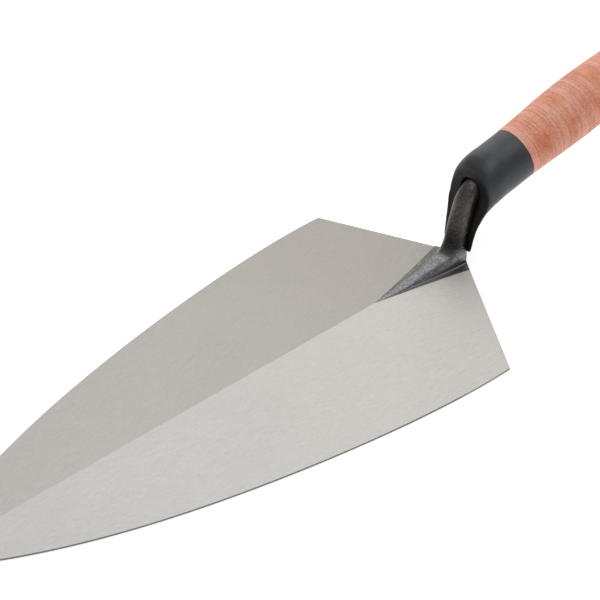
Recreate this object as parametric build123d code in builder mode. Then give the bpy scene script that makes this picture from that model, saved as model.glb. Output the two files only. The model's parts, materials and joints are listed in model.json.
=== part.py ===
"""Brick trowel with a stacked-leather handle.

The blade lies flat on Z = 0 with its point towards -X and the handle rising
towards +X.  The origin is on the flat underside, on the centre line, midway
between the two heel corners.  Sizes are in millimetres.
"""
import os
from math import atan2, cos, degrees, radians, sin, tan

from build123d import *

# ---- blade ---------------------------------------------------------------
HEEL_TO_POINT = 242.8        # heel corners to the point, along X
HEEL_DEPTH = 36.6            # heel corners to the apex of the shallow V heel
HALF_WIDTH = 69.85           # a 139.7 mm (5 1/2 in) wide blade
EDGE_THICKNESS = 1.2         # at the heel corners
RIDGE_THICKNESS = 2.3        # on the centre line at the heel
POINT_THICKNESS = 1.2        # on the centre line at the point

# ---- handle line -----------------------------------------------------------
HANDLE_TILT = 14.0           # degrees above level, rising towards +X
JOINT = Vector(67.1, 0, 48.0)     # where the finger guard meets the leather
BEND_X = 37.5                # where the shank's line meets the handle's line

# ---- shank and tang --------------------------------------------------------
SHANK_RADIUS = 5.4
BEND_RADIUS = 12.5           # on the centre line
TANG_SIDE = 8.0              # square tang where it enters the finger guard
TANG_END_SIDE = 6.4          # at the rivet washer

# ---- leather grip ----------------------------------------------------------
WASHER_COUNT = 25
WASHER_THICKNESS = 4.0
WASHER_HOLE_PLAY = 0.05      # on each side of the tang

# ---- butt cap --------------------------------------------------------------
CAP_LENGTH = 14.0
CAP_CROWN_RADIUS = 14.8      # widest, 5 mm behind the leather
CAP_END_RADIUS = 10.0        # flat end inside its rounded shoulder
CAP_RECESS_RADIUS = 6.6
CAP_RECESS_DEPTH = 3.0
RIVET_WASHER_RADIUS = 6.4
RIVET_WASHER_THICKNESS = 1.6
PEEN_HEIGHT = 1.2
PEEN_RADIUS = 4.4

# ---- finger guard ----------------------------------------------------------
GUARD_RADIUS = 13.2          # at the leather joint
GUARD_COLLAR = 15.9          # straight collar in front of the leather
PIVOT_DROP = 30.1            # from the handle's line to the centre of the turn
GUARD_TAIL = 13.0            # straight run below the turn
TAIL_HALF_WIDTH = 9.4        # at the foot
GUARD_FOOT_Z = 10.8          # lower end of the channel
SLOT_HALF_WIDTH = 6.4        # of the open channel round the shank
SLOT_ARCH_Z = 39.2           # where its arch starts
SLOT_ARCH_RISE = 7.0

HANDLE_DIR = Vector(cos(radians(HANDLE_TILT)), 0, sin(radians(HANDLE_TILT)))
HANDLE_UP = Vector(-sin(radians(HANDLE_TILT)), 0, cos(radians(HANDLE_TILT)))
GRIP_LENGTH = WASHER_COUNT * WASHER_THICKNESS
BEND = Vector(BEND_X, 0, JOINT.Z - (JOINT.X - BEND_X) * tan(radians(HANDLE_TILT)))


def half_width(run):
    """Half the blade's width at a share `run` of the way from heel to point."""
    return HALF_WIDTH * (1 - run) * (1 + 0.98 * run - 0.57 * run**2 + 1.13 * run**3)


def grip_radius(along):
    """Radius of the leather `along` millimetres behind the finger guard.

    A long swell with its crown at 42 mm, a waist near 80 mm and a slight
    flare at the butt.
    """
    swell = 1.5 * sin(radians(180 * min(along, 84.0) / 84.0)) ** 1.5
    flare = 0.9 * max(0.0, (along - 70.0) / 30.0) ** 2
    return GUARD_RADIUS + 0.1 + swell + flare


def tang_side(along):
    """Side of the square tang `along` millimetres behind the finger guard."""
    run = along / (GRIP_LENGTH + CAP_LENGTH)
    return TANG_SIDE + (TANG_END_SIDE - TANG_SIDE) * run


def handle_plane(along):
    """Plane across the handle, `along` millimetres behind the finger guard.

    Its normal runs towards the butt, its X is the world's Y.
    """
    return Plane(origin=JOINT + HANDLE_DIR * along, x_dir=(0, 1, 0), z_dir=HANDLE_DIR)


def save(part, name):
    part.label = name
    export_step(part, f"parts/{name}.step")


def section_plane(x, z, turn):
    """Plane across the XZ plane at (x, z), with the world's Y as its X.

    Its normal is +X turned up by `turn` degrees, and its Y points up and forward.
    """
    normal = Vector(cos(radians(turn)), 0, sin(radians(turn)))
    return Plane(origin=(x, 0, z), x_dir=(0, 1, 0), z_dir=normal)


def oval_points(half, rise, drop, count, wedge=1.0):
    """Points round an oval `half` wide each way, `rise` above and `drop` below.

    A `wedge` above 1 draws the lower side in towards a wedge.
    """
    points = []
    for n in range(count):
        turn = radians(360 * (n + 0.5) / count - 90)
        side, up = cos(turn), sin(turn)
        if up > 0:
            points.append((half * side, rise * up))
        else:
            side = abs(side) ** wedge * (1 if side > 0 else -1)
            points.append((half * side, -drop * abs(up) ** wedge))
    return points


# ---- the forging: blade, bolster, shank and tang in one piece ---------------
# Ovals that carry the bolster's ridge from its toe on the blade up into the
# round shank: centre x and z, turn of the section, half width, half depth.
SHANK_FOOT = Vector(32.2, 0, 19.0)
SHANK_TURN = degrees(atan2(BEND.Z - SHANK_FOOT.Z, BEND.X - SHANK_FOOT.X))
BOLSTER_SECTIONS = (
    (-20.0, 1.4, 0, 0.3, 0.4),
    (-8.0, 1.5, 2, 2.0, 1.6),
    (5.0, 1.5, 6, 3.8, 3.6),
    (15.0, 2.0, 17, 4.8, 5.2),
    (20.4, 2.9, 30, 5.3, 6.1),
    (24.6, 4.4, 46, 5.8, 6.6),
    (27.6, 6.8, 60, 6.0, 6.4),
    (29.6, 9.6, 70, 5.9, 5.8),
    (31.1, 13.5, 75, 5.6, 5.6),
    (SHANK_FOOT.X, SHANK_FOOT.Z, SHANK_TURN, SHANK_RADIUS - 0.1, SHANK_RADIUS - 0.1),
)
ROUND_REACH = 14.0           # round bar behind the bend
TANG_LEAD = 18.0             # length of square tang inside the finger guard


def build_neck():
    """Bolster, shank and tang, down to the blade's underside."""
    shank_line = (BEND - SHANK_FOOT).normalized()
    tang_end = GRIP_LENGTH + CAP_LENGTH - CAP_RECESS_DEPTH + RIVET_WASHER_THICKNESS
    with BuildPart() as neck:
        # Bolster: a ridge that grows from the toe and turns up into the shank.
        for x, z, turn, half, depth in BOLSTER_SECTIONS:
            with BuildSketch(section_plane(x, z, turn)):
                with BuildLine():
                    Polyline(*oval_points(half, depth, depth, 12), close=True)
                make_face()
        loft(ruled=True)
        with BuildSketch(Plane.XY):
            Rectangle(200, 60)
        extrude(amount=-20, mode=Mode.SUBTRACT)

        # Round shank, its bend, and the first stretch inside the guard.
        with BuildLine() as centre_line:
            FilletPolyline(SHANK_FOOT, BEND, BEND + HANDLE_DIR * ROUND_REACH, radius=BEND_RADIUS)
        with BuildSketch(Plane(origin=SHANK_FOOT, x_dir=(0, 1, 0), z_dir=shank_line)):
            Circle(SHANK_RADIUS)
        sweep(path=centre_line.line)

        # Square tang, tapered towards the butt.
        for along in (-TANG_LEAD, tang_end):
            with BuildSketch(handle_plane(along)):
                Rectangle(tang_side(along), tang_side(along))
        loft(ruled=True)

        # Its end is peened over the rivet washer.
        with BuildSketch(handle_plane(tang_end)):
            Circle(PEEN_RADIUS)
        extrude(amount=PEEN_HEIGHT)
        peened_face = neck.faces().sort_by(Axis(JOINT, HANDLE_DIR))[-1]
        chamfer(peened_face.edges(), length=0.8)
        split(bisect_by=Plane.XZ, keep=Keep.BOTTOM)
    return neck.part


def build_forging():
    """The near half of the blade and its neck, then the same again mirrored."""
    fall = (RIDGE_THICKNESS - EDGE_THICKNESS) / HALF_WIDTH
    thinning = (RIDGE_THICKNESS - POINT_THICKNESS) / HEEL_TO_POINT
    outline = [(-HEEL_TO_POINT * n / 12, half_width(n / 12)) for n in range(13)]
    slope = Plane(origin=(0, 0, RIDGE_THICKNESS), x_dir=(1, 0, thinning),
                  z_dir=(-thinning, fall, 1))
    with BuildPart() as forging:
        with BuildSketch(Plane.XY):
            with BuildLine():
                Spline(*outline)
                Polyline((0, HALF_WIDTH), (HEEL_DEPTH, 0), (-HEEL_TO_POINT, 0))
            make_face()
        extrude(amount=RIDGE_THICKNESS + 1)

        # The top falls from the ridge to the edge and thins towards the point.
        with BuildSketch(slope):
            with Locations((-100, 90)):
                Rectangle(400, 200)
        extrude(amount=10, dir=(0, 0, 1), mode=Mode.SUBTRACT)
        add(build_neck())
        mirror(about=Plane.XZ)
    return forging.part


# ---- finger guard ------------------------------------------------------------
# The guard runs straight along the handle, then turns down behind the shank
# round a pivot below it.  Each section is given by its turn round the pivot,
# the distance of its widest line, its reach towards the pivot, its half width
# and how wedge-shaped the side towards the pivot is: 1 is a plain oval.
PIVOT = JOINT - HANDLE_DIR * GUARD_COLLAR - HANDLE_UP * PIVOT_DROP
GUARD_SECTIONS = (
    (0.0, PIVOT_DROP, GUARD_RADIUS, GUARD_RADIUS, 1.0),
    (12.0, 30.0, 12.2, 13.4, 1.0),
    (24.0, 29.6, 10.8, 13.2, 1.1),
    (36.0, 28.8, 9.4, 12.4, 1.25),
    (48.0, 27.0, 7.8, 11.2, 1.4),
    (58.0, 26.2, 7.0, 10.3, 1.5),
    (65.5, 26.0, 6.6, 10.0, 1.5),
)
# Side view of the guard's open front, from above the rim to below the foot.
RIM_POINTS = ((36.8, 62.0), (38.2, 54.5), (39.2, 48.1), (39.1, 41.2), (37.1, 32.2),
              (33.8, 21.2), (32.0, 11.0), (30.6, 2.0))
# Side view of the shank's own line, where the channel is deepest.
CHANNEL_POINTS = ((24.0, 0.0), (29.6, 9.6), (31.1, 13.5), (32.2, 19.0), (37.5, 41.0), (37.5, 60.0))


def guard_face(turn, centre, reach, half, wedge, below=0.0):
    """One face across the guard, `below` further down its straight tail."""
    angle = radians(HANDLE_TILT + turn)
    outward = Vector(-sin(angle), 0, cos(angle))
    run = Vector(-cos(angle), 0, -sin(angle))
    plane = Plane(origin=PIVOT + outward * centre + run * below, x_dir=(0, -1, 0), z_dir=run)
    with BuildSketch(plane) as face:
        with BuildLine():
            Polyline(*oval_points(half, GUARD_RADIUS, reach, 32, wedge), close=True)
        make_face()
    return face.sketch


def build_channel():
    """The open channel in front of the shank: straight sides and a round top."""
    with BuildPart() as channel:
        with BuildSketch(Plane.XZ):
            with BuildLine():
                Polyline((0, 60), (0, 0), *CHANNEL_POINTS, (0, 60))
            make_face()
        extrude(amount=SLOT_HALF_WIDTH, both=True)
        with BuildSketch(Plane.YZ):
            with Locations((0, SLOT_ARCH_Z / 2)):
                Rectangle(2 * SLOT_HALF_WIDTH, SLOT_ARCH_Z)
            with Locations((0, SLOT_ARCH_Z)):
                Ellipse(SLOT_HALF_WIDTH, SLOT_ARCH_RISE)
        extrude(amount=60, mode=Mode.INTERSECT)
    return channel.part


def build_finger_guard():
    with BuildPart() as guard:
        # Outer skin: straight collar, then the turn and the tail.
        turn, centre, reach, half, wedge = GUARD_SECTIONS[0]
        add(guard_face(turn, centre, reach, half, wedge, below=-GUARD_COLLAR))
        for turn, centre, reach, half, wedge in GUARD_SECTIONS:
            add(guard_face(turn, centre, reach, half, wedge))
        add(guard_face(turn, centre, reach, TAIL_HALF_WIDTH, wedge, below=GUARD_TAIL))
        loft(ruled=True)

        # The front is open along the rim, and the foot is cut level.
        with BuildSketch(Plane.XZ):
            with BuildLine():
                Spline(*RIM_POINTS)
                Polyline(RIM_POINTS[-1], (0, 2), (0, 62), RIM_POINTS[0])
            make_face()
        extrude(amount=20, both=True, mode=Mode.SUBTRACT)
        with BuildSketch(Plane.XY.offset(GUARD_FOOT_Z)):
            Rectangle(200, 60)
        extrude(amount=-20, mode=Mode.SUBTRACT)

        # It is moulded round the shank and the tang, with the channel in front.
        add(build_channel(), mode=Mode.SUBTRACT)
        add(build_neck(), mode=Mode.SUBTRACT)
        add(mirror(build_neck(), about=Plane.XZ, mode=Mode.PRIVATE), mode=Mode.SUBTRACT)
    return guard.part


# ---- leather grip --------------------------------------------------------------
def tang_hole(front):
    """Outline of the square hole for the tang, `front` behind the guard."""
    side = tang_side(front) + 2 * WASHER_HOLE_PLAY
    with BuildSketch(handle_plane(front)) as hole:
        Rectangle(side, side)
    return hole.sketch


def build_leather_washer(number):
    """Washer `number`, counted from the guard, sanded to the grip's profile."""
    front = number * WASHER_THICKNESS
    back = front + WASHER_THICKNESS
    with BuildPart() as washer:
        for along in (front, back):
            with BuildSketch(handle_plane(along)):
                Circle(grip_radius(along))
        loft(ruled=True)
        extrude(tang_hole(front), amount=WASHER_THICKNESS, mode=Mode.SUBTRACT)
    return washer.part


# ---- butt cap and rivet washer ---------------------------------------------------
def build_butt_cap():
    """Turned cap: a short swell, a rounded shoulder and a recessed end."""
    handle_side = Plane(origin=JOINT + HANDLE_DIR * GRIP_LENGTH, x_dir=HANDLE_UP,
                        z_dir=HANDLE_UP.cross(HANDLE_DIR))
    start_radius = grip_radius(GRIP_LENGTH)
    with BuildPart() as cap:
        with BuildSketch(handle_side):
            with BuildLine():
                Line((0, 0), (start_radius, 0))
                ThreePointArc((start_radius, 0), (CAP_CROWN_RADIUS, 5.0), (start_radius - 0.3, 9.5))
                ThreePointArc((start_radius - 0.3, 9.5), (12.9, 12.6), (CAP_END_RADIUS, CAP_LENGTH))
                Polyline((CAP_END_RADIUS, CAP_LENGTH), (0, CAP_LENGTH), (0, 0))
            make_face()
        revolve(axis=Axis(JOINT, HANDLE_DIR))
        with BuildSketch(handle_plane(GRIP_LENGTH + CAP_LENGTH)):
            Circle(CAP_RECESS_RADIUS)
        extrude(amount=-CAP_RECESS_DEPTH, mode=Mode.SUBTRACT)
        extrude(tang_hole(GRIP_LENGTH), amount=CAP_LENGTH, mode=Mode.SUBTRACT)
    return cap.part


def build_rivet_washer():
    front = GRIP_LENGTH + CAP_LENGTH - CAP_RECESS_DEPTH
    with BuildPart() as washer:
        with BuildSketch(handle_plane(front)):
            Circle(RIVET_WASHER_RADIUS)
        extrude(amount=RIVET_WASHER_THICKNESS)
        rims = washer.edges().filter_by(GeomType.CIRCLE).sort_by(Axis(JOINT, HANDLE_DIR))
        chamfer(rims[-1], length=0.4)
        extrude(tang_hole(front), amount=RIVET_WASHER_THICKNESS, mode=Mode.SUBTRACT)
    return washer.part


os.makedirs("parts", exist_ok=True)
save(build_forging(), "blade_and_tang")
save(build_finger_guard(), "finger_guard")
for number in range(WASHER_COUNT):
    save(build_leather_washer(number), f"leather_washer_{number + 1:02d}")
save(build_butt_cap(), "butt_cap")
save(build_rivet_washer(), "rivet_washer")
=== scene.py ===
"""Brick trowel with a stacked-leather handle: the looks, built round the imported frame.

Every shape is worked out in millimetres in the row's own frame (blade flat on
Z = 0, point towards -X, handle rising towards +X) and turned into metres when
its mesh is made.
"""
import json

import bmesh
import bpy
import numpy as np
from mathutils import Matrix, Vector


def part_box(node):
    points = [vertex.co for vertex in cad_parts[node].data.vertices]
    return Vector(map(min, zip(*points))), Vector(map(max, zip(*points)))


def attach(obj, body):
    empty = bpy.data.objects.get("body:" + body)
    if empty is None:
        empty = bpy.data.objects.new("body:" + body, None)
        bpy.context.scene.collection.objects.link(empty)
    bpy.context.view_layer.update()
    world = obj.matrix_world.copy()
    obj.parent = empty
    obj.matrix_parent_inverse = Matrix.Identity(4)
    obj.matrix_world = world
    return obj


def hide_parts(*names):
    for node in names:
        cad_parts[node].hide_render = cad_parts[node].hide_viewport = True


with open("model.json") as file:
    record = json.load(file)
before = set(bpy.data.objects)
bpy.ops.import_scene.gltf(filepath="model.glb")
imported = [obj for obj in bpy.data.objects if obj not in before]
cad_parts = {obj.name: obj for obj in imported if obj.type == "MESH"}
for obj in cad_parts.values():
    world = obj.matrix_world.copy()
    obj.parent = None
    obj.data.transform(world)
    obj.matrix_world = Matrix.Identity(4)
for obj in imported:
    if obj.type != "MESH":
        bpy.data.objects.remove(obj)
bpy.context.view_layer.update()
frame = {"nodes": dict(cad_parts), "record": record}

MM = 0.001

# ---- driving sizes, read from the frame ------------------------------------------
forging_low, forging_high = (np.array(c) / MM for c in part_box("blade_and_tang"))
mounts = {m["name"]: m for m in frame["record"]["mounts"]}
HALF_WIDTH = forging_high[1]
POINT_X = forging_low[0]
WASHERS = sorted(n for n in frame["nodes"] if n.startswith("leather_washer"))
WASHER = 4.0                  # thickness of one leather washer
GRIP = WASHER * len(WASHERS)
CAP = 14.0                    # length of the butt cap
CAP_RECESS = 3.0              # depth of its recess for the rivet washer
ALONG = np.array(mounts["hand_grip"]["axis"], float)      # handle's line, to the butt
ALONG /= np.linalg.norm(ALONG)
UPWARD = np.array([-ALONG[2], 0.0, ALONG[0]])             # across it, upward
ACROSS = np.array([0.0, 1.0, 0.0])
JOINT = np.array(mounts["hand_grip"]["pos_m"]) / MM - ALONG * GRIP / 2
TILT = np.degrees(np.arctan2(ALONG[2], ALONG[0]))

HEEL_X = 36.6                 # apex of the V heel
EDGE = 1.2                    # blade's edge thickness at the heel corners
RIDGE = 2.3                   # its thickness on the centre line at the heel
POINT_THICK = 1.2             # its thickness at the point
GUARD_R = 13.2                # finger guard at the leather
SHANK_R = 5.4                 # shank below its bend
SHANK_FOOT_R = 5.8            # shank where it leaves the bolster
SHANK_TOP_R = 4.6             # shank in its bend
BEND_X = 37.5                 # where the shank's line meets the handle's line
BEND_R = 12.5                 # radius of the bend on the centre line

# Unground wedge under the bolster: x of its toe, and its half widths at the heel.
FLANGE_TOE = -19.8
FLANGE_NEAR = 11.2
FLANGE_FAR = 13.2

# Ovals up the bolster into the shank: centre x and z, turn, half width,
# rise on the front side and drop on the back side.
NECK = np.array([
    (-19.8, 1.9, 0, 0.2, 0.25, 0.6),
    (-12.0, 1.9, 1, 1.5, 0.9, 1.2),
    (-2.0, 1.9, 4, 3.1, 2.3, 2.4),
    (8.0, 2.0, 10, 4.1, 4.0, 4.0),
    (16.0, 2.2, 19, 4.8, 5.4, 6.3),
    (21.8, 3.2, 36, 5.4, 6.4, 9.5),
    (26.2, 5.2, 54, 5.9, 6.2, 12.0),
    (29.1, 8.2, 67, 6.0, 5.8, 8.2),
    (31.0, 12.9, 74.5, 5.85, 5.75, 5.9),
    (32.2, 19.0, 75.2, SHANK_FOOT_R, SHANK_FOOT_R, SHANK_FOOT_R),
])
# Side view of the shank's own line, where the guard's channel ends.
NECK_LINE = np.array([(23.0, 0.0), (29.4, 9.6), (30.7, 13.5), (31.9, 19.0), (37.6, 41.0),
                      (37.6, 60.0)])

# Ovals of the guard's skin: run 0 to 1 is the collar, 1 to 2 the turn behind
# the shank and 2 to 3 the tail.  Turn, distance of the widest line from the
# pivot, reach towards the pivot, half width, millimetres down the tail, and how
# full the side towards the pivot is: 1 for an oval, more for a wedge.
PIVOT = JOINT - ALONG * 15.9 - UPWARD * 30.1
GUARD_RUN = np.array([0, 0.5, 1.0, 1.18, 1.37, 1.55, 1.73, 1.89, 2.0, 3.0])
GUARD_OVALS = np.array([
    (0.0, 30.1, 13.2, 13.2, -15.9, 1.0),
    (0.0, 30.1, 13.2, 13.2, -7.9, 1.0),
    (0.0, 30.1, 13.0, 13.2, 0.0, 1.0),
    (12.0, 30.0, 12.2, 13.4, 0.0, 1.0),
    (24.0, 29.6, 10.8, 13.2, 0.0, 1.1),
    (36.0, 28.8, 9.4, 12.4, 0.0, 1.25),
    (48.0, 27.0, 7.8, 11.2, 0.0, 1.4),
    (58.0, 26.2, 7.0, 10.2, 0.0, 1.5),
    (65.5, 26.0, 6.6, 10.0, 0.0, 1.5),
    (65.5, 26.0, 6.6, 9.4, 13.0, 1.5),
])
# Side view of the guard's open front, and the slot that the shank stands in.
RIM_Z = np.array([2.0, 11.0, 21.2, 32.2, 41.2, 48.1, 54.5, 62.0])
RIM_X = np.array([30.6, 32.0, 33.8, 37.1, 39.1, 39.2, 38.2, 36.8])
RIM_POINTS = 72               # points down the rim
FOOT_POINTS = 26              # points on round the foot
GUARD_FOOT = 10.8             # level of the foot
GUARD_HEEL_X = 36.1           # back of the slot at the foot
SLOT_HALF = 6.4
SLOT_ARCH = 39.2              # height where its arch starts
SLOT_RISE = 7.0


# ---- mesh helpers ----------------------------------------------------------------
def flow(at, knots, values):
    """Smooth curve through (knots, values) that never swings past its neighbours.

    Cubic Hermite; the slope at a knot is the harmonic mean of the two beside it,
    or none where they differ in sign.
    """
    at, knots, values = (np.asarray(a, float) for a in (at, knots, values))
    step = np.diff(values, axis=0) / np.diff(knots).reshape(-1, *[1] * (values.ndim - 1))
    product = step[1:] * step[:-1]
    total = np.where(product > 0, step[1:] + step[:-1], 1.0)
    slopes = np.concatenate([step[:1], np.where(product > 0, 2 * product / total, 0.0), step[-1:]])
    i = np.clip(np.searchsorted(knots, at, side="right") - 1, 0, len(knots) - 2)
    span = knots[i + 1] - knots[i]
    s = (at - knots[i]) / span
    if values.ndim > 1:
        span, s = span[..., None], s[..., None]
    return ((1 + 2 * s) * (1 - s) ** 2 * values[i] + s * (1 - s) ** 2 * span * slopes[i]
            + s * s * (3 - 2 * s) * values[i + 1] + s * s * (s - 1) * span * slopes[i + 1])


def make_piece(name, rings, material, stands_for, crease=35.0, painted_shading=None):
    """Closed skin through `rings`, an array of (rings, points round, 3) in millimetres.

    Each ring joins the next and closes on itself.  The first and last rings
    close by falling on a point or a line, where the doubles are merged.
    Points can be given values from 0 to 2, that their material reads: painted shade up to 1, a
    painted highlight above it.
    """
    rings = np.asarray(rings, float)
    count, around = rings.shape[:2]
    index = np.arange(count * around).reshape(count, around)
    beside = np.roll(index, -1, axis=1)
    quads = np.stack([index[:-1], beside[:-1], beside[1:], index[1:]], axis=-1).reshape(-1, 4)
    mesh = bpy.data.meshes.new(name)
    mesh.vertices.add(count * around)
    mesh.vertices.foreach_set("co", (rings * MM).ravel())
    mesh.loops.add(quads.size)
    mesh.loops.foreach_set("vertex_index", quads.ravel())
    mesh.polygons.add(len(quads))
    mesh.polygons.foreach_set("loop_start", np.arange(0, quads.size, 4))
    mesh.polygons.foreach_set("loop_total", np.full(len(quads), 4))
    if painted_shading is not None:
        values = np.broadcast_to(painted_shading, rings.shape[:2]).astype(np.float32).ravel()
        mesh.attributes.new("painted_shading", "FLOAT", "POINT").data.foreach_set("value", values)
    mesh.update(calc_edges=True)
    work = bmesh.new()
    work.from_mesh(mesh)
    bmesh.ops.remove_doubles(work, verts=work.verts, dist=2e-6)
    bmesh.ops.dissolve_degenerate(work, edges=work.edges, dist=1e-7)
    bmesh.ops.recalc_face_normals(work, faces=work.faces)
    work.to_mesh(mesh)
    work.free()
    mesh.polygons.foreach_set("use_smooth", np.ones(len(mesh.polygons), bool))
    mesh.set_sharp_from_angle(angle=np.radians(crease))
    mesh.materials.append(material)
    piece = bpy.data.objects.new(name, mesh)
    bpy.context.scene.collection.objects.link(piece)
    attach(piece, "root")
    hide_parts(*stands_for)


def on_handle(along, radius, turn):
    """Point `along` the handle from the joint, `radius` out, `turn` radians from upward."""
    along, radius, turn = np.broadcast_arrays(along, radius, turn)
    return (JOINT + along[..., None] * ALONG
            + (radius * np.cos(turn))[..., None] * UPWARD
            + (radius * np.sin(turn))[..., None] * ACROSS)


def turned(profile, around=128):
    """Rings of a shape turned on the handle's line: profile rows are (along, radius)."""
    profile = np.asarray(profile, float)
    turn = np.linspace(0, 2 * np.pi, around, endpoint=False)
    return on_handle(profile[:, :1], profile[:, 1:], turn[None, :])


# ---- blade -----------------------------------------------------------------------
def blade_half_width(run):
    """Half width at a share `run` of the way from the heel corners to the point.

    A straight taper to nothing, bowed outwards by a cubic.
    """
    return HALF_WIDTH * (1 - run) * (1 + 0.98 * run - 0.57 * run ** 2 + 1.13 * run ** 3)


def blade_top(x, y):
    """Height of the ground top: it falls from the ridge to the edges and towards the point."""
    fall = (RIDGE - EDGE) / HALF_WIDTH
    thinning = (RIDGE - POINT_THICK) / -POINT_X
    return RIDGE - fall * np.abs(y) + thinning * x


def heel_x(y):
    """X of the V heel's edge at `y`."""
    return HEEL_X * (1 - np.abs(y) / HALF_WIDTH)


def build_blade(material):
    """A thin plate: ring after ring from the V heel to the point.

    A ring runs across the top, round one edge, back underneath and round the
    other edge.  Its line is the heel's V, which flattens towards the point.
    """
    arris = 0.14                  # bevel along both faces' edges
    face = np.ones(97)            # one value for each point across a face
    run = np.concatenate([[0, 0, 0.0006], np.linspace(0, 1, 151)[1:-1] ** 0.97, [0.9985, 0.9985]])
    share = np.linspace(-1, 1, len(face))
    width = blade_half_width(run)[:, None]
    inset = np.minimum(arris, 0.3 * width)
    inset[0], inset[1] = 0, 0
    spread = np.concatenate([share, [1, 1], share[::-1], [-1, -1]])[None, :]
    flat = np.concatenate([face, [0, 0], face, [0, 0]])[None, :]
    top = np.concatenate([face, [1, 0], 0 * face, [0, 1]])[None, :]
    y = spread * (width - inset * flat)
    vee = HEEL_X * (1 - np.abs(spread)) * (1 - run[:, None]) ** 2
    x = POINT_X * run[:, None] + vee
    x[2] -= arris * 0.6
    lower = np.where(flat > 0, 0.0, inset)
    upper = blade_top(x, y) - np.where(flat > 0, 0.0, inset)
    z = np.where(top > 0, upper, lower)
    middle = blade_top(x, y) / 2
    z[0], z[-1] = middle[0], middle[-1]
    z[1] = np.where(top[0] > 0, blade_top(x[1], y[1]) - arris, arris)
    make_piece("blade", np.stack([x, y, z], axis=-1), material,
               ["blade_and_tang"], crease=0.6)


# ---- bolster, shank and tang -----------------------------------------------------
def build_flange(material):
    """The unground wedge that the bolster stands on: a thin skin over the blade.

    Rings run from the toe to the heel; each goes across the top from the near
    edge to the far one and back below.  On the near side the skin steps down
    from a small lip, with a highlight painted on its crest, to a flat strip painted
    dark as shade; lighter painted shade reaches in towards the middle.
    """
    run = np.concatenate([[0.0], np.linspace(0, 1, 61) ** 1.3 * 0.999 + 0.001, [1.0]])[:, None]
    lip = FLANGE_NEAR * run * (0.90 - 0.30 * run)
    size = np.minimum(1.0, 2.5 * run)
    beside = np.array([0.55, 0.30, 0.16, 0.05, -0.08, -0.25, -0.5])[None, :] * size
    raised = [0.13, 0.30, 0.50, 0.62, 0.62, 0.50, 0.34]
    strip = np.linspace(0, 1, 7)[None, 1:-1]
    near_edge = FLANGE_NEAR * run
    start, stop = near_edge - 0.2 * size, lip + beside[:, :1]
    near = np.hstack([near_edge, start, start + (stop - start) * strip, lip + beside])
    middle = near[:, -1:] * np.linspace(1, 0, 9)[None, 1:]
    far_edge = FLANGE_FAR * run
    far = np.hstack([(far_edge - 0.4 * size) * np.linspace(0, 1, 17)[None, 1:], far_edge])
    y = np.hstack([-near, -middle, far])
    height = np.array([0, 0.10] + [0.12] * 5 + raised + [0.30] * 24 + [0])[None, :] * size
    # Painted shade: 1 on the near strip, 0.8 towards the middle, 0 on the far side; above 1, up to
    # 2, a highlight painted on the lip's crest.
    dark = np.array([1.0] * 7 + [1, 1, 1.4, 2, 2, 1.2, 0.8] + [0.8] * 8 + [0.0] * 17)[None, :]
    x = FLANGE_TOE + (heel_x(y) - 0.05 - FLANGE_TOE) * run
    top = np.stack([x, y, blade_top(x, y) + height + 0.01], axis=-1)
    below = top[:, ::-1].copy()
    below[..., 2] = blade_top(x, y)[:, ::-1] - 0.4
    rings = np.concatenate([top, below], axis=1)
    rings[0] = rings[0].mean(axis=0)
    heel_top = blade_top(x, y)[-1]
    rings[-1, :, 2] = np.concatenate([heel_top, heel_top[::-1]]) - 0.1
    painted_shading = np.concatenate([dark, dark[:, ::-1]], axis=1)
    make_piece("bolster_flange", rings, material, ["blade_and_tang"],
               crease=40, painted_shading=painted_shading)


def shank_path():
    """Centres and turns of the shank above the bolster: straight, bend, straight."""
    foot = NECK[-1, [0, 1]]
    bend = np.array([BEND_X, JOINT[2] - (JOINT[0] - BEND_X) * ALONG[2] / ALONG[0]])
    rise = (bend - foot) / np.linalg.norm(bend - foot)
    rear = ALONG[[0, 2]]
    turn = np.arccos(rise @ rear)
    reach = BEND_R * np.tan(turn / 2)
    arc = np.linspace(0, turn, 17)[:, None]
    side = (rear - rise * np.cos(turn)) / np.sin(turn)
    start = bend - rise * reach
    bent = start + BEND_R * (np.sin(arc) * rise + (1 - np.cos(arc)) * side)
    straight = foot + (start - foot) * np.linspace(0.06, 0.96, 14)[:, None]
    tail = bend + rear * (reach + np.linspace(1, 10, 6)[:, None])
    centres = np.vstack([straight, bent, tail])
    lean = np.degrees(np.arctan2(rise[1], rise[0]))
    turns = np.concatenate([np.full(14, lean), lean - np.degrees(arc[:, 0]), np.full(6, TILT)])
    return centres, turns


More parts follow.
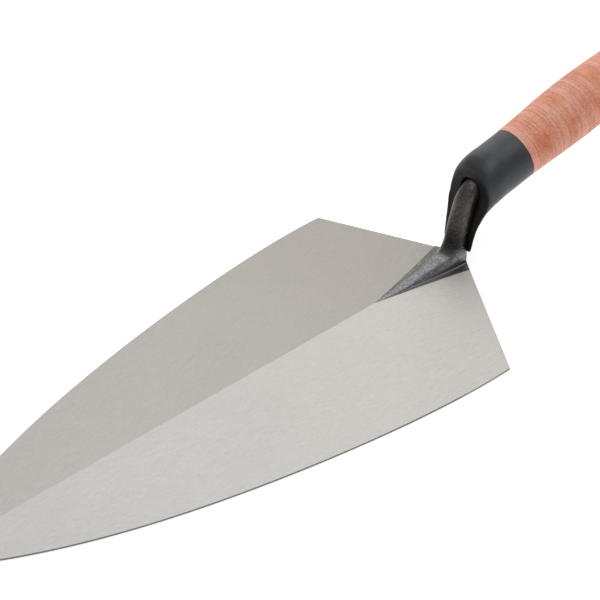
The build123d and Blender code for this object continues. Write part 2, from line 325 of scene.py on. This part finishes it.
def build_neck(material):
    """Bolster and shank: ovals carried along the forging's line.

    Each oval's front half is an ellipse; its back half is squarer low down.  What
    would fall below the blade's middle or past the heel is pressed flat against
    it, as the forging dies do.
    """
    at = np.linspace(0, len(NECK) - 1, 90)
    lower = flow(at, np.arange(len(NECK)), NECK)
    centres, turns = shank_path()
    radius = np.interp(centres[:, 1], [NECK[-1, 1], 34.0, 41.5],
                       [SHANK_FOOT_R, SHANK_R, SHANK_TOP_R])
    upper = np.column_stack([centres, turns, radius, radius, radius])
    rows = np.vstack([lower[:1], lower, upper, upper[-1:]])
    rows[0, 3:], rows[-1, 3:] = 0, 0
    angle = np.linspace(-np.pi, np.pi, 120, endpoint=False)[None, :]
    turn = np.radians(rows[:, 2:3])
    boxy = np.interp(rows[:, 1:2], [2.0, 4.0, 9.0, 16.0], [1.0, 0.55, 0.55, 1.0])
    sine, cosine = np.sin(angle), np.cos(angle)
    low = cosine < 0
    cosine = np.where(low, -rows[:, 5:6] * np.abs(cosine) ** boxy, rows[:, 4:5] * cosine)
    sine = rows[:, 3:4] * np.where(low, np.sign(sine) * np.abs(sine) ** boxy, sine)
    x = rows[:, 0:1] - np.sin(turn) * cosine
    z = rows[:, 1:2] + np.cos(turn) * cosine
    y = np.broadcast_to(sine, x.shape)
    z = np.maximum(z, 0.6)
    x = np.where(z < 13, np.minimum(x, heel_x(y) - 0.06), x)
    # Shade is painted darkest low down on the near side, towards the heel.
    painted_pocket_shade = np.clip((6.5 - z) / 4.0, 0, 1) * np.clip((x - 2) / 24, 0, 1) * (y < 0)
    make_piece("bolster_and_shank", np.stack([x, y, z], axis=-1), material,
               ["blade_and_tang"], crease=50, painted_shading=painted_pocket_shade)


def build_tang_end(material):
    """The tang's end, hammered to a low dome over the rivet washer."""
    base = GRIP + CAP - CAP_RECESS + 1.55
    rows = [(base, 0), (base, 4.0), (base + 0.25, 4.35), (base + 0.6, 4.2), (base + 0.95, 3.4),
            (base + 1.15, 2.0), (base + 1.2, 0.8), (base + 1.2, 0)]
    make_piece("tang_end", turned(rows, 64), material, ["blade_and_tang"])


# ---- finger guard ----------------------------------------------------------------
def guard_skin(run, angle):
    """Point of the guard's outer skin at `run` along it and `angle` degrees above its side.

    Above the side it is an ellipse.  Below it, sine and cosine are raised to the
    oval's power, which draws that half in to a wedge.
    """
    run, angle = np.broadcast_arrays(run, angle)
    turn, centre, reach, half, below, full = np.moveaxis(flow(run, GUARD_RUN, GUARD_OVALS), -1, 0)
    lean = np.radians(TILT + turn)
    sine, cosine = np.sin(np.radians(angle)), np.cos(np.radians(angle))
    out = centre + np.where(sine > 0, GUARD_R * sine, -reach * np.abs(sine) ** full)
    across = half * np.where(sine > 0, cosine, np.maximum(cosine, 0) ** full)
    x = PIVOT[0] - np.sin(lean) * out - np.cos(lean) * below
    z = PIVOT[2] + np.cos(lean) * out - np.sin(lean) * below
    return np.stack([x, -across, z], axis=-1)


def first_crossing(inside, grid):
    """Along the last axis, where `inside` first turns negative, in units of `grid`."""
    stop = np.argmax(inside < 0, axis=-1)
    rows = np.arange(len(inside))
    before, after = inside[rows, stop - 1], inside[rows, stop]
    return grid[stop - 1] + (grid[stop] - grid[stop - 1]) * before / (before - after)


def guard_opening():
    """The near half of the guard's open edge, as (run, angle) on its skin.

    From the top of the rim down the front to the foot, then round the foot to
    the back.  Found where the skin meets the rim's side view and the foot's level.
    """
    run = np.linspace(1.0, 3.0, 801)
    angle = np.linspace(-90, 90, 361)
    skin = guard_skin(run[:, None], angle[None, :])
    behind = skin[..., 0] - flow(skin[..., 2], RIM_Z, RIM_X)
    open_rows = behind[:, -1] < 0
    rim = first_crossing(behind[open_rows], angle)
    rim_run = run[open_rows]
    rim_run = np.concatenate([[rim_run[0]], rim_run])
    rim = np.concatenate([[90.0], rim])
    height = guard_skin(rim_run, rim)[:, 2]
    keep = height > GUARD_FOOT
    points = guard_skin(rim_run, rim)[keep]
    length = np.concatenate([[0], np.cumsum(np.linalg.norm(np.diff(points, axis=0), axis=1))])
    even = np.linspace(0, length[-1], RIM_POINTS)
    rim_run, rim = np.interp(even, length, rim_run[keep]), np.interp(even, length, rim[keep])
    foot_angle = np.linspace(rim[-1], -90, FOOT_POINTS + 1)[1:]
    tail = np.linspace(2.0, 3.0, 201)
    drop = guard_skin(tail[None, :], foot_angle[:, None])[..., 2] - GUARD_FOOT
    foot_run = first_crossing(drop, tail)
    return np.concatenate([rim_run, foot_run]), np.concatenate([rim, foot_angle])


def rounded(before, corner, after, radius, steps):
    """Quadratic curve that rounds `corner`, starting and ending `radius` away from it."""
    back, ahead = before - corner, after - corner
    back = back * radius / np.linalg.norm(back, axis=1, keepdims=True)
    ahead = ahead * radius / np.linalg.norm(ahead, axis=1, keepdims=True)
    t = np.linspace(0, 1, steps)[:, None, None]
    return corner + (1 - t) ** 2 * back + t ** 2 * ahead


def build_guard(material):
    """A sleeve: skin lines from the collar's round back edge to the opening's edge.

    Each line then rounds the edge, crosses the flat rim, turns into the
    channel and closes on the shank's own line, out of sight.
    """
    end_run, end_angle = guard_opening()
    start = np.linspace(90, -90, len(end_run))
    share = np.linspace(0, 1, 57)[:, None] ** 0.9
    line_run = end_run * share
    line_angle = start + (end_angle - start) * share ** 1.5
    outer = guard_skin(line_run, line_angle)
    edge = outer[-1]

    # Inner edge of the rim, point for point with the outer edge.
    height, side = edge[:, 2], -edge[:, 1]
    arch = np.arctan2(np.maximum(height - SLOT_ARCH, 0), side)
    inner_y = -(SLOT_HALF - 0.7 * np.clip((SLOT_ARCH - height) / 14, 0, 1)) * np.cos(arch)
    inner_z = np.where(height > SLOT_ARCH, SLOT_ARCH + SLOT_RISE * np.sin(arch), height)
    inner_x = flow(inner_z, RIM_Z, RIM_X)
    number = np.arange(len(edge))
    foot = number >= RIM_POINTS
    sweep = np.linspace(0, np.pi / 2, foot.sum() + 1)[1:]
    inner_x[foot] = inner_x[~foot][-1] + (GUARD_HEEL_X - inner_x[~foot][-1]) * np.sin(sweep)
    inner_y[foot] = -SLOT_HALF * np.cos(sweep)
    inner_z[foot] = GUARD_FOOT
    inner = np.column_stack([inner_x, inner_y, inner_z])

    # The slot's wall runs back to the shank's line, and deeper under the arch;
    # round the foot it turns up inside.
    deeper = 4.0
    lift = np.array([0, 0, 1.5])
    shank_x = np.interp(inner_z, NECK_LINE[:, 1], NECK_LINE[:, 0])
    crown = np.clip((inner_z - SLOT_ARCH) / SLOT_RISE, 0, 1)
    depth = np.maximum(shank_x - inner_x, 0.8) + deeper * crown
    deep = inner + np.array([1.0, 0, 0]) * depth[:, None]
    deep[foot] = inner[foot] + lift
    core = np.column_stack([inner_x + depth, np.zeros(len(edge)), inner_z - deeper * crown])
    core[foot] = inner[foot] * np.array([1, 0, 1]) + lift

    # The outer edge is rounded widest at the top of the rim, and again at the foot.
    near_top = np.clip(1 - number / 34, 0, 1)
    near_foot = np.clip((number - RIM_POINTS + 8) / 8, 0, 1)
    softness = (1.1 + 4.4 * near_top + 1.2 * near_foot)[:, None]
    outer_round = rounded(outer[-6], edge, inner, softness, 9)
    inner_round = rounded(edge, inner, deep, 0.5, 5)
    near_run = np.linspace(0, 1, 5)[1:-1, None, None]
    flat = outer_round[-1] + (inner_round[0] - outer_round[-1]) * near_run
    wall = inner_round[-1] + (deep - inner_round[-1]) * np.linspace(0, 1, 4)[1:, None, None]
    lead = np.array([0.0, 0.985])[:, None, None]
    face = JOINT + (outer[0] - JOINT) * lead
    shoulder = outer[0] - ALONG * 0.25
    skin = outer[1:-1] + (outer_round[0] - outer[-1]) * (share[1:-1, :, None] ** 6)
    half = np.concatenate([face, shoulder[None], skin, outer_round, flat, inner_round, wall,
                           core[None]])
    far = half[:, ::-1] * np.array([1, -1, 1])
    rings = np.concatenate([half, far[:, 1:-1]], axis=1)
    on_skin = len(face) + 1 + len(skin)
    # Painted shade: 0 on the outer skin, rising round the edge to 1 on the rim and in the channel.
    painted_shading = np.ones((len(rings), 1))
    painted_shading[:on_skin] = 0
    painted_shading[on_skin:on_skin + 8, 0] = (0, 0, 0, 0.1, 0.3, 0.55, 0.8, 0.95)
    make_piece("finger_guard_shell", rings, material, ["finger_guard"],
               crease=50, painted_shading=painted_shading)


# ---- leather grip ----------------------------------------------------------------
def grip_radius(along):
    """Radius of the leather: a long swell, a waist and a slight flare at the butt.

    The swell is half a sine wave, raised to a power, and the flare a parabola.
    """
    swell = 1.5 * np.sin(np.pi * np.minimum(along, 84.0) / 84.0) ** 1.5
    flare = 0.9 * np.maximum(0.0, (along - 70.0) / 30.0) ** 2
    return GUARD_R + 0.1 + swell + flare


def build_washer(number, node, material):
    """One leather ring: its rim follows the sanded grip, with its two edges just broken."""
    front = WASHER * number
    across = np.concatenate([[0, 0.03, 0.12], np.linspace(0.3, WASHER - 0.3, 9),
                             [WASHER - 0.12, WASHER - 0.03, WASHER]])
    broken = np.array([0.10, 0.045, 0.01] + [0.0] * 9 + [0.01, 0.045, 0.10])
    radius = grip_radius(front + across) - broken
    hole = [4.4]
    along = front + np.concatenate([[0.0], across, [WASHER], [0.0]])
    rows = np.column_stack([along, np.concatenate([hole, radius, hole, hole])])
    make_piece(f"{node}_leather", turned(rows), material, [node], crease=60)


# ---- butt cap and rivet washer ---------------------------------------------------
def build_cap(material):
    """Turned cap: a short swell, a rounded shoulder and a recess for the rivet washer.

    The swell is a parabola and the shoulder a quarter of an ellipse.
    """
    start = float(grip_radius(GRIP))
    body = 9.5                    # length up to the shoulder
    taper = 0.3                   # radius lost along it
    bulge = 0.55                  # its swell halfway
    inward = 4.1                  # how far the shoulder comes in
    bore = 4.0
    recess = CAP - CAP_RECESS
    t = np.linspace(0, 1, 13)
    swell = np.column_stack([body * t, start - taper * t + 4 * t * (1 - t) * bulge])
    u = np.linspace(0, np.pi / 2, 12)[1:]
    shoulder = np.column_stack([body + (CAP - body) * np.sin(u),
                                start - taper - inward * (1 - np.cos(u))])
    mouth = [(CAP, 7.1), (CAP - 0.12, 6.75), (CAP - 0.5, 6.6), (recess, 6.6), (recess, bore),
             (0, bore)]
    rows = np.vstack([[(0, bore), (0, start - 0.12)], swell[1:], shoulder, mouth])
    rows[:, 0] += GRIP
    make_piece("butt_cap_shell", turned(rows), material, ["butt_cap"], crease=40)


def build_rivet_washer(material):
    """Flat steel washer in the cap's recess, its top edge broken."""
    base = GRIP + CAP - CAP_RECESS
    rows = [(base, 3.6), (base, 6.35), (base + 1.2, 6.4), (base + 1.5, 6.15), (base + 1.6, 5.9),
            (base + 1.6, 3.6), (base, 3.6)]
    make_piece("rivet_washer_ring", turned(rows, 96), material, ["rivet_washer"],
               crease=40)


# ---- shader helpers --------------------------------------------------------------
def feed(tree, node, inputs):
    """Link each input that is given a socket, and set the others."""
    for key, value in inputs.items():
        if isinstance(value, bpy.types.NodeSocket):
            tree.links.new(value, node.inputs[key])
        else:
            node.inputs[key].default_value = value


def put(tree, kind, inputs=None, **settings):
    """Add a shader node with its settings and inputs."""
    node = tree.nodes.new("ShaderNode" + kind)
    for key, value in settings.items():
        setattr(node, key, value)
    feed(tree, node, inputs or {})
    return node


def calc(tree, operation, a, b=0.0, c=0.0):
    """One arithmetic node."""
    return put(tree, "Math", {0: a, 1: b, 2: c}, operation=operation).outputs[0]


def between(tree, value, start, stop):
    """How far `value` is from `start` to `stop`, 0 to 1."""
    return put(tree, "MapRange", {"Value": value, "From Min": start, "From Max": stop}).outputs[0]


def ramp(tree, value, stops):
    """Colours at positions 0 to 1 along `value`."""
    node = put(tree, "ValToRGB", {"Fac": value})
    node.color_ramp.interpolation = "EASE"
    elements = node.color_ramp.elements
    while len(elements) < len(stops):
        elements.new(0.5)
    for element, (place, colour) in zip(elements, stops):
        element.position = place
        element.color = (*colour, 1.0)
    return node.outputs["Color"]


def blend_colours(tree, share, a, b, how="MIX"):
    """Mix of two colours by `share`; a colour is a socket or three numbers."""
    a, b = ((*colour, 1.0) if isinstance(colour, tuple) else colour for colour in (a, b))
    node = put(tree, "Mix", {"Factor": share, 6: a, 7: b}, data_type="RGBA", blend_type=how)
    return node.outputs[2]


def times(tree, a, b):
    """Product of two colours."""
    return blend_colours(tree, 1.0, a, b, "MULTIPLY")


def shared_effect(name, inputs, outputs):
    """An empty node group with named sockets: (name, socket type, start value)."""
    tree = bpy.data.node_groups.new(name, "ShaderNodeTree")
    for label, kind, start in inputs:
        socket = tree.interface.new_socket(label, in_out="INPUT", socket_type="NodeSocket" + kind)
        if start is not None:
            socket.default_value = start
    for label, kind in outputs:
        tree.interface.new_socket(label, in_out="OUTPUT", socket_type="NodeSocket" + kind)
    return tree, tree.nodes.new("NodeGroupInput"), tree.nodes.new("NodeGroupOutput")


def use(tree, effect, inputs):
    """Place a shared effect in a material with its own values; gives its output."""
    node = tree.nodes.new("ShaderNodeGroup")
    node.node_tree = effect
    feed(tree, node, inputs)
    return node.outputs[0]


def make_streaks():
    """Fine parallel lines: noise drawn out along the vector's X."""
    tree, enter, leave = shared_effect(
        "fine_streaks",
        [("Vector", "Vector", None), ("Length", "Float", 0.005), ("Width", "Float", 0.0005)],
        [("Lines", "Float")])
    vector, length, width = enter.outputs[:3]
    scale = put(tree, "CombineXYZ", {0: calc(tree, "DIVIDE", 1.0, length),
                                     1: calc(tree, "DIVIDE", 1.0, width),
                                     2: calc(tree, "DIVIDE", 1.0, width)})
    drawn = put(tree, "VectorMath", {0: vector, 1: scale.outputs[0]}, operation="MULTIPLY")
    noise = put(tree, "TexNoise", {"Vector": drawn.outputs[0], "Scale": 1.0, "Detail": 3.0,
                                   "Roughness": 0.62})
    tree.links.new(noise.outputs["Fac"], leave.inputs["Lines"])
    return tree


def make_mottle():
    """Soft blotches with a finer set of blotches inside them, 0 to 1."""
    tree, enter, leave = shared_effect(
        "soft_mottle",
        [("Vector", "Vector", None), ("Size", "Float", 0.01), ("Contrast", "Float", 1.0)],
        [("Blotches", "Float")])
    vector, size, contrast = enter.outputs[:3]
    noise = put(tree, "TexNoise", {"Vector": vector, "Scale": calc(tree, "DIVIDE", 1.0, size),
                                   "Detail": 4.0, "Roughness": 0.58})
    centred = calc(tree, "SUBTRACT", noise.outputs["Fac"], 0.5)
    spread = calc(tree, "MULTIPLY_ADD", centred, contrast, 0.5)
    kept = calc(tree, "MINIMUM", calc(tree, "MAXIMUM", spread, 0.0), 1.0)
    tree.links.new(kept, leave.inputs["Blotches"])
    return tree


STREAKS = make_streaks()
MOTTLE = make_mottle()


def new_material(name):
    """A material with its Principled shader, and the piece's own coordinates."""
    material = bpy.data.materials.new(name)
    material.use_nodes = True
    tree = material.node_tree
    shader = tree.nodes["Principled BSDF"]
    place = put(tree, "TexCoord").outputs["Object"]
    return material, tree, shader, place


def relief(tree, shader, height, distance):
    """Feed `height`, 0 to 1 over `distance` metres, into the shader's normal."""
    bump = put(tree, "Bump", {"Height": height, "Distance": distance, "Strength": 1.0})
    tree.links.new(bump.outputs["Normal"], shader.inputs["Normal"])


def ground_steel():
    """Finely ground blade: lines that follow each half's own edge; the far half painted darker than
    the near as shade, both halves painted lighter towards the point as a reflection, and painted
    shade on the edges.
    """
    material, tree, shader, place = new_material("ground_steel")
    x, y = put(tree, "SeparateXYZ", {0: place}).outputs[:2]
    far = calc(tree, "GREATER_THAN", y, 0.0)
    angle = calc(tree, "MULTIPLY_ADD", far, np.radians(-18.0), np.radians(11.0))
    lined = put(tree, "VectorRotate", {"Vector": place, "Angle": angle},
                rotation_type="Z_AXIS").outputs[0]
    coarse = use(tree, STREAKS, {"Vector": lined, "Length": 0.0035, "Width": 0.0006})
    fine = use(tree, STREAKS, {"Vector": lined, "Length": 0.007, "Width": 0.00022})
    grain = use(tree, MOTTLE, {"Vector": place, "Size": 0.0009, "Contrast": 1.5})
    cloud = use(tree, MOTTLE, {"Vector": lined, "Size": 0.07, "Contrast": 1.6})
    lines = calc(tree, "MULTIPLY_ADD", fine, 0.4, calc(tree, "MULTIPLY", coarse, 0.4))
    lines = calc(tree, "MULTIPLY_ADD", grain, 0.2, lines)
    # Painted light and shade: the far half darker than the near half, and both halves lighter
    # towards the point as a painted reflection.
    painted_sheen_toward_point = between(tree, x, 0.036, -0.22)
    far_half_painted_shade = blend_colours(tree, painted_sheen_toward_point, (0.39, 0.365, 0.328), (0.54, 0.515, 0.485))
    near_half_painted_light = blend_colours(tree, painted_sheen_toward_point, (0.585, 0.562, 0.522), (0.60, 0.587, 0.572))
    half = blend_colours(tree, far, near_half_painted_light, far_half_painted_shade)
    streaked = blend_colours(tree, lines, (0.66, 0.66, 0.66), (1.34, 1.34, 1.34))
    colour = times(tree, half, streaked)
    clouded = blend_colours(tree, cloud, (0.95, 0.95, 0.95), (1.03, 1.03, 1.035))
    colour = times(tree, colour, clouded)
    # Painted shade on the edge faces, those turned more than about 45 degrees off level.
    facing = put(tree, "SeparateXYZ", {0: put(tree, "TexCoord").outputs["Normal"]}).outputs[2]
    rim = calc(tree, "LESS_THAN", calc(tree, "ABSOLUTE", facing), 0.7)
    colour = blend_colours(tree, rim, colour, (0.20, 0.185, 0.165))
    tree.links.new(colour, shader.inputs["Base Color"])
    shader.inputs["Metallic"].default_value = 0.35
    rough = calc(tree, "MULTIPLY_ADD", lines, 0.2, 0.5)
    tree.links.new(rough, shader.inputs["Roughness"])
    relief(tree, shader, lines, 0.000012)
    return material


def forged_steel(name, dull, bright, shank=None):
    """Forge scale brushed smooth: fine grains, soft dents, specks of clean steel on the high spots.

    `shank` gives the browner colours above the bolster, with shade painted down its foot.
    The piece's painted shading value is 1 where shade is painted dark, in hollows and low
    on the near side, and 2 where a highlight is painted along an arris.
    """
    material, tree, shader, place = new_material(name)
    grain = use(tree, MOTTLE, {"Vector": place, "Size": 0.0010, "Contrast": 2.4})
    dents = use(tree, MOTTLE, {"Vector": place, "Size": 0.005, "Contrast": 1.5})
    drift = use(tree, MOTTLE, {"Vector": place, "Size": 0.014, "Contrast": 1.9})
    colour = blend_colours(tree, drift, dull, bright)
    if shank:
        level = put(tree, "SeparateXYZ", {0: place}).outputs[2]
        edge = calc(tree, "MULTIPLY_ADD", dents, 0.004, level)
        up = between(tree, edge, 0.0102, 0.0145)
        # Painted shade: the shank is darkened from about 27 mm down to its foot at 19 mm.
        painted_foot_shade = between(tree, edge, 0.027, 0.019)
        stem = blend_colours(tree, drift, *shank)
        stem = blend_colours(tree, calc(tree, "MULTIPLY", painted_foot_shade, 0.75), stem, (0.024, 0.021, 0.019))
        colour = blend_colours(tree, up, colour, stem)
    worn = ramp(tree, grain, [(0.0, (0.66, 0.66, 0.66)), (0.6, (1.0, 1.0, 1.0)),
                              (0.97, (1.8, 1.8, 1.8))])
    colour = times(tree, colour, worn)
    flecks = use(tree, MOTTLE, {"Vector": place, "Size": 0.0021, "Contrast": 2.2})
    rubbed = between(tree, flecks, 0.88, 1.0)
    colour = blend_colours(tree, calc(tree, "MULTIPLY", rubbed, 0.6), colour, (0.5, 0.49, 0.48))
    # Painted light: up to 1 the value darkens hollows and the near side as painted shade; above 1
    # it paints a highlight along an arris.
    painted_shade_and_highlight = put(tree, "Attribute", attribute_name="painted_shading").outputs["Fac"]
    colour = blend_colours(tree, calc(tree, "MINIMUM", painted_shade_and_highlight, 1.0), colour, (0.115, 0.113, 0.11))
    bare = calc(tree, "SUBTRACT", calc(tree, "MAXIMUM", painted_shade_and_highlight, 1.0), 1.0)
    colour = blend_colours(tree, bare, colour, (0.62, 0.61, 0.60))
    tree.links.new(colour, shader.inputs["Base Color"])
    shader.inputs["Metallic"].default_value = 0.85
    tree.links.new(calc(tree, "MULTIPLY_ADD", grain, -0.12, 0.46), shader.inputs["Roughness"])
    height = calc(tree, "MULTIPLY_ADD", dents, 0.22, calc(tree, "MULTIPLY", grain, 0.6))
    relief(tree, shader, height, 0.00011)
    return material


def moulded_plastic(name):
    """Satin black plastic with a very fine moulded grain and faint scuffs.

    The piece's painted shading value is 1 on the rim and in the channel, which are painted
    near-black as shade.
    """
    material, tree, shader, place = new_material(name)
    grain = use(tree, MOTTLE, {"Vector": place, "Size": 0.0004, "Contrast": 1.6})
    scuff = use(tree, STREAKS, {"Vector": place, "Length": 0.009, "Width": 0.0011})
    wear = use(tree, MOTTLE, {"Vector": place, "Size": 0.012, "Contrast": 2.0})
    rim = put(tree, "Attribute", attribute_name="painted_shading").outputs["Fac"]
    colour = blend_colours(tree, wear, (0.034, 0.0368, 0.0415), (0.052, 0.0560, 0.0620))
    # Painted shade: the rim and the channel go near-black.
    colour = blend_colours(tree, rim, colour, (0.0015, 0.0015, 0.0015))
    tree.links.new(colour, shader.inputs["Base Color"])
    rough = calc(tree, "MULTIPLY_ADD", scuff, 0.10, calc(tree, "MULTIPLY_ADD", wear, 0.06, 0.26))
    rough = calc(tree, "MULTIPLY_ADD", rim, 0.1, rough)
    tree.links.new(rough, shader.inputs["Roughness"])
    shader.inputs["Specular IOR Level"].default_value = 0.30
    relief(tree, shader, calc(tree, "MULTIPLY_ADD", scuff, 0.3, grain), 0.00003)
    return material


def stacked_leather(name):
    """Sanded edge-on leather, its fibres running round the grip.

    Each washer has its own shade; patches of rust and of pale nap run across
    them, with thin bands, fine grain and a fine line at every joint.
    """
    material, tree, shader, place = new_material(name)
    start = (-float(JOINT @ ALONG) * MM, 0.0, -float(JOINT @ UPWARD) * MM)
    handle = put(tree, "Mapping", {"Vector": place, "Location": start,
                                   "Rotation": (0.0, np.radians(TILT), 0.0)}).outputs[0]
    along, across, up = put(tree, "SeparateXYZ", {0: handle}).outputs[:3]
    washers = calc(tree, "DIVIDE", along, WASHER * MM)
    number = calc(tree, "FLOOR", washers)
    own = put(tree, "TexWhiteNoise", {"W": number}, noise_dimensions="1D").outputs["Value"]
    other = put(tree, "TexWhiteNoise", {"W": calc(tree, "ADD", number, 41.3)},
                noise_dimensions="1D").outputs["Value"]
    wobble = put(tree, "TexNoise", {"Vector": handle, "Scale": 90.0, "Detail": 2.0}).outputs["Fac"]
    wavy = calc(tree, "MULTIPLY_ADD", wobble, 0.0016, along)
    sideways = calc(tree, "MULTIPLY_ADD", own, 0.9, across)
    squeezed = put(tree, "CombineXYZ", {0: calc(tree, "MULTIPLY", wavy, 16.0), 1: sideways,
                                        2: up}).outputs[0]
    bands = use(tree, MOTTLE, {"Vector": squeezed, "Size": 0.017, "Contrast": 2.1})
    fibres = use(tree, MOTTLE, {"Vector": squeezed, "Size": 0.0042, "Contrast": 1.8})
    rusty = use(tree, MOTTLE, {"Vector": handle, "Size": 0.009, "Contrast": 3.6})
    elsewhere = put(tree, "VectorMath", {0: handle, 1: (0.3, 0.7, 0.2)}).outputs[0]
    nap = use(tree, MOTTLE, {"Vector": elsewhere, "Size": 0.016, "Contrast": 3.2})
    grain = use(tree, MOTTLE, {"Vector": handle, "Size": 0.0007, "Contrast": 2.2})
    shade = ramp(tree, own, [(0.0, (0.69, 0.245, 0.13)), (0.3, (0.72, 0.285, 0.172)),
                             (0.6, (0.74, 0.315, 0.21)), (1.0, (0.69, 0.26, 0.145))])
    rust = calc(tree, "MULTIPLY", rusty, calc(tree, "MULTIPLY_ADD", other, 0.5, 0.45))
    shade = blend_colours(tree, rust, shade, (0.58, 0.145, 0.042))
    pale = calc(tree, "MULTIPLY", nap, calc(tree, "MULTIPLY_ADD", other, -0.4, 0.7))
    shade = blend_colours(tree, pale, shade, (0.72, 0.395, 0.305))
    shade = times(tree, shade, blend_colours(tree, bands, (0.82, 0.74, 0.70), (1.19, 1.26, 1.30)))
    shade = times(tree, shade, blend_colours(tree, fibres, (0.88, 0.86, 0.85), (1.11, 1.13, 1.14)))
    shade = times(tree, shade, blend_colours(tree, grain, (0.72, 0.69, 0.67), (1.30, 1.33, 1.35)))
    to_joint = calc(tree, "ABSOLUTE", calc(tree, "SUBTRACT", calc(tree, "FRACT", washers), 0.5))
    seam = between(tree, to_joint, 0.465, 0.495)
    shade = blend_colours(tree, calc(tree, "MULTIPLY", seam, 0.45), shade, (0.30, 0.10, 0.05))
    tree.links.new(shade, shader.inputs["Base Color"])
    tree.links.new(calc(tree, "MULTIPLY_ADD", fibres, 0.14, 0.44), shader.inputs["Roughness"])
    shader.inputs["Coat Weight"].default_value = 0.12
    shader.inputs["Coat Roughness"].default_value = 0.35
    relief(tree, shader, calc(tree, "MULTIPLY_ADD", grain, 0.5, fibres), 0.00007)
    return material


# ---- build every piece -----------------------------------------------------------
blade_finish = ground_steel()
forge_finish = forged_steel("forge_scale", (0.155, 0.156, 0.162), (0.235, 0.237, 0.246),
                            ((0.055, 0.049, 0.044), (0.112, 0.103, 0.095)))
flange_finish = forged_steel("flange_scale", (0.092, 0.087, 0.078), (0.175, 0.168, 0.155))
rivet_finish = forged_steel("rivet_steel", (0.125, 0.128, 0.137), (0.20, 0.205, 0.217))
black = moulded_plastic("guard_plastic")
cap_black = moulded_plastic("cap_plastic")
leather = stacked_leather("stacked_leather")

build_blade(blade_finish)
build_flange(flange_finish)
build_neck(forge_finish)
build_tang_end(rivet_finish)
build_guard(black)
for number, node in enumerate(WASHERS):
    build_washer(number, node, leather)
build_cap(cap_black)
build_rivet_washer(rivet_finish)


# ---- floor, light and camera -----------------------------------------------------
def build_floor():
    """A wide pale table, lit from below like an opal sheet, just under the blade."""
    mesh = bpy.data.meshes.new("floor")
    reach = 6.0
    level = -0.00005
    corners = ((-1, -1), (1, -1), (1, 1), (-1, 1))
    mesh.from_pydata([(x * reach, y * reach, level) for x, y in corners], [], [(0, 1, 2, 3)])
    floor = bpy.data.objects.new("floor", mesh)
    bpy.context.scene.collection.objects.link(floor)
    material, _, shader, _ = new_material("pale_floor")
    shader.inputs["Base Color"].default_value = (0.6, 0.6, 0.6, 1.0)
    shader.inputs["Emission Color"].default_value = (1.0, 1.0, 1.0, 1.0)
    shader.inputs["Emission Strength"].default_value = 0.62
    shader.inputs["Roughness"].default_value = 0.9
    shader.inputs["Specular IOR Level"].default_value = 0.1
    mesh.materials.append(material)


def soft_light(name, place, aim, size, power):
    """A square soft box at `place`, in metres, turned towards `aim`."""
    data = bpy.data.lights.new(name, "AREA")
    data.shape = "SQUARE"
    data.size = size
    data.energy = power
    light = bpy.data.objects.new(name, data)
    light.location = place
    light.rotation_mode = "QUATERNION"
    light.rotation_quaternion = (Vector(aim) - Vector(place)).to_track_quat("-Z", "Y")
    bpy.context.scene.collection.objects.link(light)


def build_camera():
    """Level camera, forty degrees off the trowel's side and forty-two above it."""
    data = bpy.data.cameras.new("camera")
    data.lens, data.sensor_width = 63.84, 36.0
    data.shift_x, data.shift_y = -0.15, -0.0183
    data.clip_start, data.clip_end = 0.01, 50.0
    camera = bpy.data.objects.new("camera", data)
    azimuth, elevation = np.radians(-40.01), np.radians(41.94)
    back = Vector((np.sin(azimuth) * np.cos(elevation), -np.cos(azimuth) * np.cos(elevation),
                   np.sin(elevation)))
    camera.location = (-0.24926, -0.28467, 0.33964)
    camera.rotation_mode = "QUATERNION"
    camera.rotation_quaternion = (-back).to_track_quat("-Z", "Y")
    bpy.context.scene.collection.objects.link(camera)
    bpy.context.scene.camera = camera


build_floor()
soft_light("back_box", (0.96, 1.14, 1.34), (0.0, 0.0, 0.0), 2.4, 26.0)
soft_light("front_box", (0.02, -0.34, 1.50), (0.03, 0.0, 0.05), 1.1, 8.0)
world = bpy.data.worlds.new("studio")
world.use_nodes = True
world.node_tree.nodes["Background"].inputs["Color"].default_value = (1.0, 1.0, 1.0, 1.0)
world.node_tree.nodes["Background"].inputs["Strength"].default_value = 0.35
bpy.context.scene.world = world
bpy.context.scene.view_settings.view_transform = "Standard"
build_camera()
